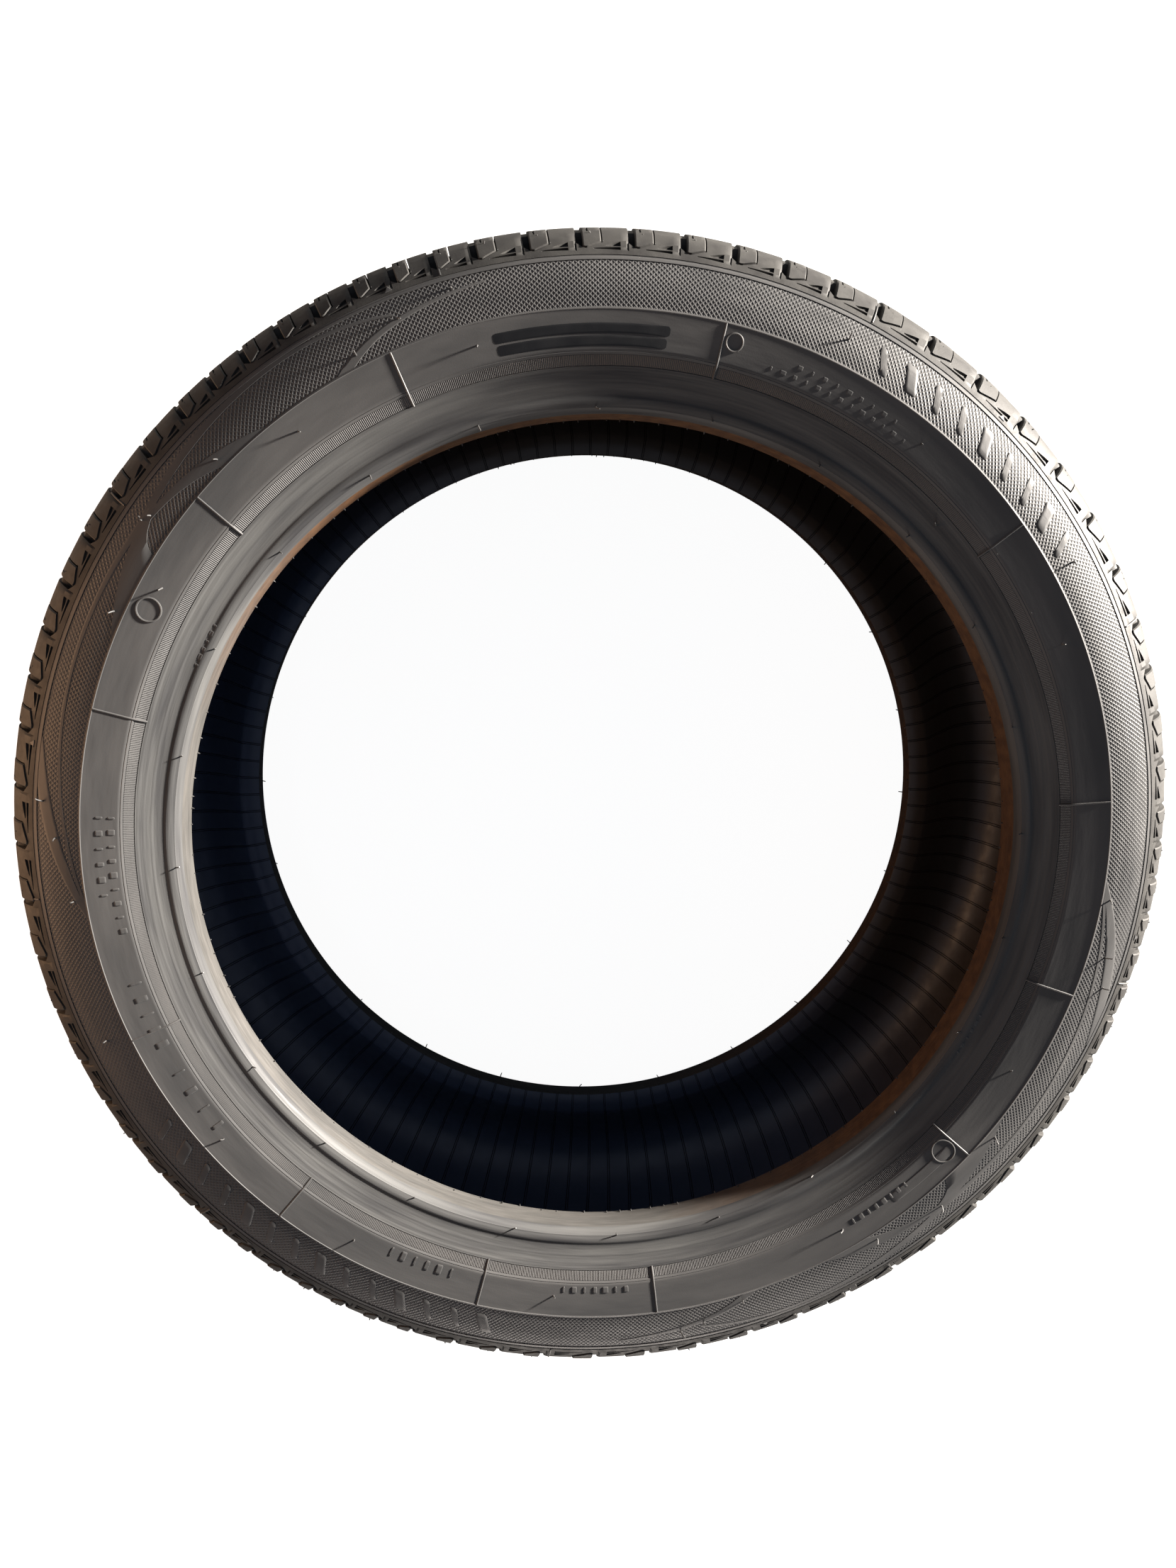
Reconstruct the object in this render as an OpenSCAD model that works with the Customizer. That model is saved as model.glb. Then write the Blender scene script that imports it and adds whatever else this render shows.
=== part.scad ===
// A low-profile passenger-car tyre, off its wheel and lying on its sidewall.
// The wheel axis is +Z and the origin is the middle of the tyre. Lengths are millimetres.
// Both sidewalls carry the same pattern: the lower one is the upper one turned half a turn about X.

/* [Main sizes] */
// Height of the section, from the bead seat to the tread
section_h = 97.5; // [94:0.5:101]
// Width over both sidewalls
section_w = 213; // [209:0.5:220]
// Diameter of the bead seat at the toes, where the wheel rim passes
bead_d = 456; // [450:0.5:458]
// Width over the outer faces of both beads
bead_w = 194; // [190:0.5:197]
// Width between the toes of the two beads
toe_w = 152; // [146:0.5:156]

/* [Bead] */
// Length of the straight land at each toe
toe_land = 4; // [2:0.5:6]
// Taper of the bead base, in degrees
bead_taper = 5; // [2:0.5:8]
// Radius of the heel, between the bead base and the rim flange face
heel_r = 6.5; // [4:0.5:8]
// Thickness of the toe lip inside the tyre
toe_lip = 12; // [9:0.5:14]
// Height over the bead seat at which the rim flange groove ends and the sidewall starts
flange_h = 21.8; // [20:0.2:24]
// Depth of the rim flange groove below a straight line between its ends
flange_groove = 1.2; // [0.6:0.1:2]

/* [Sidewall] */
// Height of the widest point over the end of the flange groove
widest_h = 23.2; // [19:0.2:26]
// Sink of the sidewall at the flange groove, from the widest point
lower_sink = 5.6; // [4:0.1:8]
// Sink of the sidewall at the shoulder, from the widest point
upper_sink = 6; // [4:0.1:8]
// Depth below the tread at which the sidewall turns into the shoulder
shoulder_h = 23; // [20:0.5:25]
// Thickness of the sidewall at its widest point
wall_t = 9; // [7:0.5:11]
// Width of the serrated ring next to the flange groove
serrated_w = 5.4; // [4:0.2:7]
// Depth of the serrated ring and of the patterned ring
relief = 0.7; // [0.4:0.1:1]
// Distance of the patterned ring from the end of the flange groove
pattern_h = 26.7; // [24:0.1:28]
// Smooth strip between the patterned ring and the shoulder
pattern_gap = 2.5; // [1:0.5:6]
// Width of a mould rib across the label ring
rib_w = 1.6; // [1:0.1:3]
// Height of a mould rib
rib_h = 0.7; // [0.4:0.1:1.2]

/* [Tread] */
// Width of the crown between the two shoulder curves
crown_w = 140; // [130:1:146]
// Drop of the crown from its middle to the shoulder curves
crown_drop = 2.5; // [1:0.5:5]
// Thickness of the tread and belts under the crown
crown_t = 14; // [12.5:0.5:16]
// Depth of the four grooves round the tread
groove_depth = 8; // [6:0.5:8.5]
// Width of the two middle grooves
inner_groove_w = 11; // [8:0.5:13]
// Distance of the middle grooves from the tread's middle
inner_groove_z = 18; // [16:0.5:21]
// Width of the two outer grooves
outer_groove_w = 9; // [7:0.5:11]
// Distance of the outer grooves from the edges of the crown
shoulder_rib_w = 18; // [14:0.5:21]
// Draft of the groove walls, in degrees
groove_draft = 6; // [2:1:12]
// Width of a slot between two shoulder blocks
slot_w = 3.4; // [2:0.2:4.4]
// Depth of the slots
slot_depth = 7; // [4:0.5:7.5]
// Place of the sipe between two slots, as a share of the pitch
sipe_share = 0.57; // [0.5:0.01:0.65]
// Width of a sipe, the thin cut inside a block
sipe_w = 0.8; // [0.6:0.1:1.4]
// Depth of the sipes
sipe_depth = 4.5; // [2:0.5:6]
// Distance of the sipes' ends from the outer groove
sipe_gap = 4.5; // [2:0.5:8]
// Depth of the notches at the foot of the shoulder blocks
notch_depth = 1.1; // [0.5:0.1:1.6]
// Width of the thin wedge notch at its wide end
wedge_w = 1.4; // [0.8:0.1:2]
// Length across the foot of the triangular notch
triangle_l = 3; // [2:0.1:4]
// Height of the wear bars above the groove floor
wear_bar_h = 1.6; // [1:0.2:2.4]
// Length of a wear bar round the tread
wear_bar_l = 8; // [5:1:12]
// Width of a slot across the ribs between the grooves
rib_slot_w = 2.6; // [1.6:0.2:4]
// Lean of those slots from the axis, in degrees
rib_slot_lean = 28; // [0:1:35]
// Distance of their closed ends from the middle groove
rib_slot_gap = 4; // [2:0.5:8]
// Angle of the first shoulder slot, in degrees from +X
first_slot = 3.7; // [0:0.1:4.5]

/* [Hidden] */
$fn = 96;

// Runs of equal pitches round the tread, as [length in units, how many]
pitch_runs = [[10, 4], [12, 7], [10, 8], [8, 8], [10, 7], [12, 6],
              [10, 4], [8, 7], [10, 3], [12, 10], [10, 4], [8, 6]];
// Angles of the mould ribs across the label ring
rib_angles = [5.4, 38.9, 77.9, 113, 137.9, 163.1, 201.2, 228.2, 254.2, 276.1, 319.1, 342];
// Angles of the wear bars
wear_angles = [48.2, 110.9, 168.3, 228, 288.2, 349.8];
// Angles at which the ribbons through the patterned ring cross
crossing_angles = [142.9, 312.5];
// Small overlap that keeps cutters clear of the faces they cut
eps = 0.5;

bead_r = bead_d / 2;
tyre_r = bead_r + section_h;
half_w = section_w / 2;
toe_z = toe_w / 2;
bead_face_z = bead_w / 2;
flange_r = bead_r + flange_h;
widest_r = flange_r + widest_h;
shoulder_r = tyre_r - shoulder_h;
pattern_r = flange_r + pattern_h;
pattern_w = shoulder_r - pattern_gap - pattern_r;
crown_edge_r = tyre_r - crown_drop;
crown_edge_z = crown_w / 2;
outer_groove_z = crown_edge_z - shoulder_rib_w;

// Radius of the arc that rises by rise over a run, level at its start
function arc_radius(run, rise) = (run * run + rise * rise) / (2 * rise);

lower_arc_r = arc_radius(widest_r - flange_r, lower_sink);
upper_arc_r = arc_radius(shoulder_r - widest_r, upper_sink);
crown_arc_r = arc_radius(crown_edge_z, crown_drop);

// Height of the smooth sidewall over a radius, from the two arcs that meet at the widest point
function side_z(r) =
    let (run = r - widest_r, arc = run < 0 ? lower_arc_r : upper_arc_r)
    half_w - arc + sqrt(arc * arc - run * run);

// Radius of the smooth crown at a height, from the crown's one flat arc
function crown_r(z) = tyre_r - crown_arc_r + sqrt(crown_arc_r * crown_arc_r - z * z);

// A point of a cubic curve with four control points, and a list of them
function curve_point(p, t) =
    pow(1 - t, 3) * p[0] + 3 * t * pow(1 - t, 2) * p[1] + 3 * t * t * (1 - t) * p[2] + pow(t, 3) * p[3];
function curve(p, steps) = [for (i = [0:steps]) curve_point(p, i / steps)];

// A point at a distance and an angle in degrees
function polar(r, a) = [r * cos(a), r * sin(a)];

// The shoulder's curve leaves the sidewall arc and meets the crown arc, level with both
shoulder_lean = asin((shoulder_r - widest_r) / upper_arc_r);
crown_lean = asin(crown_edge_z / crown_arc_r);
shoulder_span = norm([crown_edge_r - shoulder_r, side_z(shoulder_r) - crown_edge_z]);
shoulder_pull = 0.35 * shoulder_span;
shoulder_start = [shoulder_r, side_z(shoulder_r)];
shoulder_end = [crown_edge_r, crown_edge_z];
shoulder_curve = [
    shoulder_start,
    shoulder_start + shoulder_pull * [cos(shoulder_lean), -sin(shoulder_lean)],
    shoulder_end + shoulder_pull * [-sin(crown_lean), cos(crown_lean)],
    shoulder_end];

// The liner, inside the tyre: past the bead, over the widest point and under the crown
liner_widest = [widest_r + 4, half_w - wall_t];
liner_crown_r = tyre_r - crown_t;
liner_turn = 0.5 * (liner_crown_r - liner_widest[0]);
bead_lip = [bead_r + toe_lip, toe_z - 1.5];
lip_run = liner_widest[0] - bead_lip[0];
lower_liner = [bead_lip, bead_lip + [lip_run / 4, lip_run / 7], liner_widest - [lip_run / 3, 0], liner_widest];
upper_liner = [liner_widest, liner_widest + [liner_turn, 0],
               [liner_crown_r, liner_widest[1] - liner_turn], [liner_crown_r, inner_groove_z + 2 * inner_groove_w]];

// The bead base: a straight land at the toe, then the taper up to the heel's round
heel_z = bead_face_z - heel_r;
taper_rise = (heel_z - toe_z - toe_land) * tan(bead_taper);
heel_centre = [bead_r + taper_rise + heel_r, heel_z];
heel = [for (a = [180:-15:90]) heel_centre + polar(heel_r, a)];
flange_start = [heel_centre[0] + 3, bead_face_z];
flange_end = [flange_r, side_z(flange_r)];
flange_dip = (flange_start + flange_end) / 2 - [0, 2 * flange_groove];
flange = curve([flange_start, flange_dip, flange_dip, flange_end], 6);

// The sidewall: the serrated ring lies lower, and a narrow bead of rubber edges the label ring
edge_w = 1.6;
serrated_end = flange_r + serrated_w;
side_steps = 12;
side_start = serrated_end + 2 * edge_w;
sidewall = [
    for (r = [flange_r + edge_w, serrated_end]) [r, side_z(r) - relief],
    [serrated_end + edge_w / 2, side_z(serrated_end) + relief],
    [serrated_end + edge_w, side_z(serrated_end + edge_w) + relief],
    for (i = [0:side_steps]) let (r = side_start + (shoulder_r - side_start) * i / side_steps) [r, side_z(r)]];

// The crown: flat over the middle rib, then one straight cone over each rib beside it
crown = [[crown_r(outer_groove_z), outer_groove_z], [tyre_r, inner_groove_z]];

// Half of the section, from the liner under the crown round the bead to the middle of the tread
upper_half = concat(
    [for (i = [5:-1:0]) curve_point(upper_liner, i / 5)],
    [for (i = [4:-1:0]) curve_point(lower_liner, i / 5)],
    [[bead_r, toe_z], [bead_r, toe_z + toe_land]],
    heel, flange, sidewall,
    [for (t = [0.25, 0.5, 0.8]) curve_point(shoulder_curve, t)],
    crown);
lower_half = [for (i = [len(upper_half) - 1:-1:0]) [upper_half[i][0], -upper_half[i][1]]];

module groove(z, width) {
    floor_r = crown_r(z) - groove_depth;
    top_r = tyre_r + eps;
    spread = (top_r - floor_r) * tan(groove_draft);
    polygon([[floor_r, z - width / 2 + spread / 2], [top_r, z - width / 2 - spread / 2],
             [top_r, z + width / 2 + spread / 2], [floor_r, z + width / 2 - spread / 2]]);
}

module section() {
    difference() {
        polygon(concat(upper_half, lower_half));
        for (side = [-1, 1]) {
            groove(side * inner_groove_z, inner_groove_w);
            groove(side * outer_groove_z, outer_groove_w);
        }
    }
}

// Pitches: their lengths in degrees and the angle at which each one starts
pitch_units = [for (run = pitch_runs) for (i = [1:run[1]]) run[0]];
all_units = [for (i = 0, sum = 0; i <= len(pitch_units); sum = sum + (i < len(pitch_units) ? pitch_units[i] : 0), i = i + 1) sum];
unit_angle = 360 / all_units[len(pitch_units)];
pitches = [for (i = [0:len(pitch_units) - 1]) [first_slot + all_units[i] * unit_angle, pitch_units[i] * unit_angle]];

// The foot of the shoulder blocks, where the wedge notches and the slots' ends lie
foot = curve_point(shoulder_curve, 0.17);
foot_next = curve_point(shoulder_curve, 0.21);
foot_tilt = atan2(foot[1] - foot_next[1], foot_next[0] - foot[0]);
slot_start = curve_point(shoulder_curve, 0.13);

// A section swept for some degrees round the axis, centred on +X
module sector(section_points, degrees)
    rotate([0, 0, -degrees / 2]) rotate_extrude(angle = degrees) polygon(section_points);

// The section of a cut across the shoulder, from its start at the foot to a height on the crown
function shoulder_cut(start, knee, depth, end_z) =
    let (floor_r = crown_edge_r - depth)
    [[start[0], half_w + eps], start, start + knee, [floor_r, crown_edge_z],
     [floor_r, end_z], [tyre_r + eps, end_z], [tyre_r + eps, half_w + eps]];

// The angle that a width takes up at the shoulder
function degrees_of(width) = width / crown_edge_r * 180 / PI;

module slot()
    sector(shoulder_cut(slot_start, [2, -slot_depth], slot_depth, outer_groove_z), degrees_of(slot_w));

module sipe()
    sector(shoulder_cut(foot_next, [1, -sipe_depth / 2], sipe_depth, outer_groove_z + outer_groove_w / 2 + sipe_gap),
           degrees_of(sipe_w));

// At the foot of each pitch: a thin wedge notch and a triangular notch over it. They are drawn flat, with X
// running out over the foot and Y round the tyre, and laid on the foot.
module notches(pitch) {
    length = pitch * PI / 180 * foot[0];
    wide_end = 0.22 * length;
    translate([foot[0], 0, foot[1]]) rotate([0, foot_tilt, 0])
        linear_extrude(2 * notch_depth, center = true) {
            polygon([[-2.4 * wedge_w, wide_end], [-1.4 * wedge_w, wide_end], [-2 * wedge_w, 0.75 * length]]);
            polygon([[0, wide_end], [triangle_l, wide_end], [0.2 * triangle_l, 0.5 * length]]);
        }
}

// A slot across the rib between two grooves: open at the outer groove, closed short of the inner one
module rib_slot() {
    inner_end = inner_groove_z + inner_groove_w / 2 + rib_slot_gap;
    rise = outer_groove_z - inner_end;
    length = (rise - rib_slot_w * sin(rib_slot_lean)) / cos(rib_slot_lean);
    translate([tyre_r, 0, inner_end + rise / 2]) rotate([rib_slot_lean, 0, 0])
        cube([2 * slot_depth, rib_slot_w, length], center = true);
}

module shoulder_pattern() {
    for (p = pitches) {
        rotate([0, 0, p[0]]) slot();
        rotate([0, 0, p[0] + sipe_share * p[1]]) sipe();
        rotate([0, 0, p[0]]) notches(p[1]);
        rotate([0, 0, p[0] + 0.3 * p[1]]) rib_slot();
    }
}

// The sidewall's section between two radii, from a depth under its face to a height over it
function side_band(r1, r2, depth, height) = concat(
    [for (i = [0:4]) let (r = r1 + (r2 - r1) * i / 4) [r, side_z(r) - depth]],
    [for (i = [4:-1:0]) let (r = r1 + (r2 - r1) * i / 4) [r, side_z(r) + height]]);

// A ribbon between two curved edges, given as [degrees from the crossing, share of the ring's width]
module ribbon(edge_1, edge_2) {
    points = concat(curve(edge_1, 8), [for (i = [8:-1:0]) curve_point(edge_2, i / 8)]);
    linear_extrude(half_w + 1) polygon([for (p = points) polar(pattern_r + p[1] * pattern_w, p[0])]);
}

// Smooth ribbons that sweep through the patterned ring and cross
module ribbons() {
    ribbon([[-25, -0.1], [-29, 0.42], [-33, 0.56], [-41, 0.78]],
           [[-23, -0.1], [-28, 0.55], [-33, 0.66], [-41, 0.82]]);
    ribbon([[-31.5, 0.64], [-24, 1.02], [-16, 0.98], [-1.5, 0.57]],
           [[-31.5, 0.70], [-24, 1.12], [-13, 1.12], [1, 0.66]]);
    ribbon([[-17, -0.1], [-12, 0.25], [-7, 0.5], [0, 0.6]],
           [[-10.5, -0.1], [-7, 0.22], [-4, 0.4], [1, 0.5]]);
    ribbon([[-2, 0.56], [1.5, 0.42], [2.6, 0.25], [2.6, -0.1]],
           [[-1, 0.66], [7, 0.5], [11, 0.1], [15, -0.1]]);
    ribbon([[-1, 0.5], [14, 0.70], [28, 0.66], [44, -0.1]],
           [[-1, 0.66], [14, 0.77], [29, 0.72], [45.5, -0.1]]);
    ribbon([[24.5, 0.96], [31, 0.62], [36, 0.45], [44, -0.1]],
           [[24.5, 1.1], [33, 0.98], [38, 0.6], [45, -0.1]]);
}

// What the sidewall loses: the patterned ring, apart from its ribbons
module patterned_ring() {
    difference() {
        rotate_extrude() polygon(side_band(pattern_r, pattern_r + pattern_w, relief, 1));
        for (a = crossing_angles) rotate([0, 0, a]) ribbons();
    }
}

// What the sidewall gains: mould ribs across the label ring
module mould_ribs() {
    for (a = rib_angles)
        rotate([0, 0, a]) sector(side_band(flange_r + edge_w, pattern_r, 1, rib_h), degrees_of(rib_w));
}

// The bars that show a worn tread: across the floors of the four grooves, and sunk into their walls
module wear_bars() {
    for (a = wear_angles, side = [-1, 1], g = [[inner_groove_z, inner_groove_w], [outer_groove_z, outer_groove_w]])
        let (floor_r = crown_r(g[0]) - groove_depth, low_z = side * g[0] - g[1] / 2, high_z = side * g[0] + g[1] / 2)
        rotate([0, 0, a])
            sector([[floor_r - 1, low_z], [floor_r + wear_bar_h, low_z],
                    [floor_r + wear_bar_h, high_z], [floor_r - 1, high_z]], degrees_of(wear_bar_l));
}

module tyre() {
    color("#2c2c2e")
        difference() {
            union() {
                rotate_extrude() section();
                wear_bars();
                for (turn = [0, 180]) rotate([turn, 0, 0]) mould_ribs();
            }
            for (turn = [0, 180]) rotate([turn, 0, 0]) shoulder_pattern();
            for (turn = [0, 180]) rotate([turn, 0, 0]) patterned_ring();
        }
}

tyre();
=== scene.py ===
# %% [markdown]
# A low-profile car tyre, off its wheel and lying on its sidewall. The solid comes from a CAD frame, which
# this notebook loads first. Its looks are then built around it: the moulded casing, the tread blocks, the
# diamond pattern on the sidewall, and the rubber hairs that the mould's vents leave. Every length is a real
# one, in millimetres, and only the last step of each piece turns it into metres.

import bpy
import numpy as np
from mathutils import Matrix, Vector


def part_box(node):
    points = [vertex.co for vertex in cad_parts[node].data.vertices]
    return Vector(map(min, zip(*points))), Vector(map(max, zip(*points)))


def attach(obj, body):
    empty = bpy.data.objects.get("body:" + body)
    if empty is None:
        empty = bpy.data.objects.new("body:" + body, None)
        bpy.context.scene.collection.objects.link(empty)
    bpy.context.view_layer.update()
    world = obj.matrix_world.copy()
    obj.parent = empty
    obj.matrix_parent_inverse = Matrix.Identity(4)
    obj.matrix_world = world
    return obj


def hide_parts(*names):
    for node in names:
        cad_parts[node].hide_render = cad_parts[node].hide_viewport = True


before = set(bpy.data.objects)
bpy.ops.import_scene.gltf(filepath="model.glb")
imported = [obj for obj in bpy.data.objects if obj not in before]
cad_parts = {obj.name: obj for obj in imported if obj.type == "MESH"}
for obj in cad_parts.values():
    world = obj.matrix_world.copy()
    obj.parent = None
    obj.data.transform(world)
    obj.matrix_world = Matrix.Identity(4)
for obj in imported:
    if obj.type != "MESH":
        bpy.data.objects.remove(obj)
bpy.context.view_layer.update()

# %% [markdown]
# ## The section
# A tyre is a ring, so nearly all of its form is in one cross-section. The section is drawn from the same
# sizes as the solid: a circular arc on each side of the widest point, a cubic curve over the shoulder, and
# a flat crown. Points could be read off the CAD mesh instead, but a formula gives as many rows as each
# piece needs.

# %% Sizes of the section
MM = 0.001
cad_low, cad_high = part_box("tyre")
tyre_r = cad_high.x / MM
half_w = 106.5

# The bead: radius of its seat, heights of its toe and its outer face, the toe's flat and lip, the seat's
# taper and the rounding of the heel
bead_r, toe_z, bead_face_z = 228.0, 76.0, 97.0
toe_land, toe_lip = 4.0, 12.0
bead_taper, heel_r = np.radians(5), 6.5

# The sidewall: radii where the flange groove ends, where the tyre is widest and where the shoulder starts,
# the radii of the label ring's borders, and how far each arc sinks from the widest point
flange_r, widest_r, shoulder_r = 249.8, 273.0, 302.5
band_start, band_end = 257.2, 276.0
lower_sink, upper_sink = 5.6, 6.0

# The tread: the crown's edge, the rubber's thickness at the side and crown, and the grooves' sizes
crown_edge_r, crown_edge_z = tyre_r - 2.5, 70.0
wall_t, crown_t = 9.0, 14.0
groove_depth, groove_draft = 8.0, np.radians(6)
inner_groove_w, inner_groove_z = 11.0, 18.0
outer_groove_w, outer_groove_z = 9.0, 52.0


def arc_radius(run, rise):
    """Radius of the arc that rises by rise over a run: half of run squared plus rise squared, over rise."""
    return (run * run + rise * rise) / (2 * rise)


def arc_z(r):
    """Height of the sidewall's two arcs: the half width less the sink of one arc inside the widest radius
    and of another outside it. The root is a point's height over the centre of its arc."""
    run = np.asarray(r, float) - widest_r
    inner_arc = arc_radius(widest_r - flange_r, lower_sink)
    outer_arc = arc_radius(shoulder_r - widest_r, upper_sink)
    arc = np.where(run < 0, inner_arc, outer_arc)
    return half_w - arc + np.sqrt(arc * arc - run * run)


def side_z(r):
    """Height of the smooth sidewall: its arcs, with the label ring as a straight cone between them."""
    ends = np.array([band_start, band_end])
    on_band = (np.asarray(r) > band_start) & (np.asarray(r) < band_end)
    return np.where(on_band, np.interp(r, ends, arc_z(ends)), arc_z(r))


def crown_r(z):
    """Radius of the crown at a height, from its one flat arc."""
    arc = arc_radius(crown_edge_z, tyre_r - crown_edge_r)
    return tyre_r - arc + np.sqrt(arc * arc - np.asarray(z, float) ** 2)


def cubic(p, steps):
    """Points of a cubic curve with four control points, at even steps of its parameter."""
    t = np.linspace(0, 1, steps + 1)[:, None]
    p = np.asarray(p, float)
    return (1 - t) ** 3 * p[0] + 3 * t * (1 - t) ** 2 * p[1] + 3 * t * t * (1 - t) * p[2] + t ** 3 * p[3]


def side_line(r1, r2, steps, height=0.0):
    """The smooth sidewall between two radii, raised by a height."""
    r = np.linspace(r1, r2, steps)
    return np.stack([r, side_z(r) + height], axis=-1)


# %% Lines of the section
# The shoulder's curve leaves each end along the arc that it joins there. Its control points stand off from
# the ends by a share of the distance between them.
shoulder_pull = 0.35
shoulder_lean = np.arcsin((shoulder_r - widest_r) / arc_radius(shoulder_r - widest_r, upper_sink))
crown_lean = np.arcsin(crown_edge_z / arc_radius(crown_edge_z, tyre_r - crown_edge_r))
shoulder_start = np.array([shoulder_r, float(side_z(shoulder_r))])
shoulder_end = np.array([crown_edge_r, crown_edge_z])
pull = shoulder_pull * np.linalg.norm(shoulder_end - shoulder_start)
shoulder = cubic([shoulder_start,
                  shoulder_start + pull * np.array([np.cos(shoulder_lean), -np.sin(shoulder_lean)]),
                  shoulder_end + pull * np.array([-np.sin(crown_lean), np.cos(crown_lean)]),
                  shoulder_end], 200)
crown_z = np.linspace(crown_edge_z, 0, 141)[1:]
crown_line = np.stack([np.where(crown_z < inner_groove_z, tyre_r, crown_r(crown_z)), crown_z], axis=-1)
tread_line = np.concatenate([shoulder, crown_line])

# The heel is a quarter circle on top of the tapered seat. Behind it the flange dips a little, and then
# rises steadily to the sidewall: its inner control points are set a few millimetres from its ends.
heel_z = bead_face_z - heel_r
heel_centre = np.array([bead_r + (heel_z - toe_z - toe_land) * np.tan(bead_taper) + heel_r, heel_z])
heel_turn = np.linspace(np.pi, np.pi / 2, 11)
heel = heel_centre + heel_r * np.stack([np.cos(heel_turn), np.sin(heel_turn)], axis=-1)
flange_start = heel[-1] + [0.8, -0.2]
flange_end = np.array([flange_r, float(side_z(flange_r))])
flange = cubic([flange_start, flange_start + [1.3, -0.6], flange_end - [3.8, 1.5], flange_end], 14)
skin_line = np.concatenate([heel, flange, side_line(flange_r, shoulder_r, 40)[1:], shoulder[1:]])

# %% Distances and normals along a line
normal_reach = 0.4


def travelled(line):
    """Distance of each point of a line from its first point, summed over its segments."""
    return np.concatenate([[0], np.cumsum(np.linalg.norm(np.diff(line, axis=0), axis=1))])


def walk(line, distances):
    """Points at given distances along a line, each coordinate interpolated over the travelled length."""
    at = travelled(line)
    return np.stack([np.interp(distances, at, line[:, k]) for k in (0, 1)], axis=-1)


def normals_at(line, distances):
    """Unit normals of a line of the section: its direction over a short reach to each side, turned a quarter
    turn out of the rubber."""
    distances = np.asarray(distances)
    along = walk(line, distances + normal_reach) - walk(line, distances - normal_reach)
    turned = np.stack([-along[..., 1], along[..., 0]], axis=-1)
    return turned / np.linalg.norm(turned, axis=-1, keepdims=True)


def skin_at(r):
    """Distance from the heel's start at which the skin has a radius. The radius grows all the way."""
    return np.interp(r, skin_line[:, 0], travelled(skin_line))


def on_skin(r, degrees, height=0.0):
    """Points over the tyre's upper skin, from heel to crown: at a radius, an angle and a height off it."""
    r, degrees, height = np.broadcast_arrays(np.asarray(r, float), degrees, height)
    line = walk(skin_line, skin_at(r)) + height[..., None] * normals_at(skin_line, skin_at(r))
    turn = np.radians(degrees)
    return np.stack([line[..., 0] * np.cos(turn), line[..., 0] * np.sin(turn), line[..., 1]], axis=-1)


print("skin from heel to crown edge, mm:", round(float(travelled(skin_line)[-1]), 1))

# %% [markdown]
# ## From arrays to meshes
# Most pieces are grids of points: rows run along the section and columns round the axis. A closed grid has
# its last row joined to its first, and its last column to its first, so it is a watertight ring. Blender's
# screw modifier could spin a section too, but a grid of our own can also carry slots, sipes and ridges.

# %% Grids and rings


def grid_faces(rows, columns, close_rows=True):
    """Four corner numbers for each cell of a grid, whose points are numbered row after row. Its columns
    always close to a ring, and its rows may stay open."""
    i = np.arange(rows if close_rows else rows - 1)
    i, j = np.meshgrid(i, np.arange(columns), indexing="ij")
    i2, j2 = (i + 1) % rows, (j + 1) % columns
    corners = [i * columns + j, i * columns + j2, i2 * columns + j2, i2 * columns + j]
    return np.stack(corners, axis=-1).reshape(-1, 4)


def spun(line, angles):
    """A line of the section turned to each angle: x is r cos, y is r sin and z stays. line is rows of
    (r, z), or rows by columns of them where the section changes round the tyre. Angles are radians."""
    line = np.asarray(line, float)
    if line.ndim == 2:
        line = np.repeat(line[:, None, :], np.shape(angles)[-1], axis=1)
    r, z = line[..., 0], line[..., 1]
    return np.stack([r * np.cos(angles), r * np.sin(angles), z], axis=-1)


def turned_over(points):
    """Half a turn about X: y and z change sign. It carries the upper side's pattern to the lower side."""
    return points * np.array([1, -1, -1])


# %% Closed shells


def triangles_of(faces):
    """Each four-cornered face as two triangles. A face whose last two corners are one has a single one."""
    first = faces[:, [0, 1, 2]]
    second = faces[:, [0, 2, 3]]
    return np.concatenate([first, second[second[:, 1] != second[:, 2]]])


def enclosed(points, faces):
    """Signed volume inside a closed mesh: a sixth of the sum of a . (b x c) over its triangles."""
    a, b, c = (points[triangles_of(faces)[:, k]] for k in range(3))
    return float((a * np.cross(b, c)).sum() / 6)


def outward(points, faces):
    """A closed shell with its faces turned so that it encloses a positive volume."""
    points = np.asarray(points, float).reshape(-1, 3)
    faces = np.asarray(faces, np.int64)
    if enclosed(points - points.mean(axis=0), faces) < 0:
        single = faces[:, [2]] == faces[:, [3]]
        faces = np.where(single, faces[:, [1, 0, 2, 3]], faces[:, [3, 2, 1, 0]])
    return points, faces


def joined(shells):
    """Several closed shells as one list of points and faces, each turned outward by itself."""
    points, faces, first = [], [], 0
    for shell in shells:
        shell_points, shell_faces = outward(*shell)
        points.append(shell_points)
        faces.append(shell_faces + first)
        first += len(shell_points)
    return np.concatenate(points), np.concatenate(faces)


# %% Pieces


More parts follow.
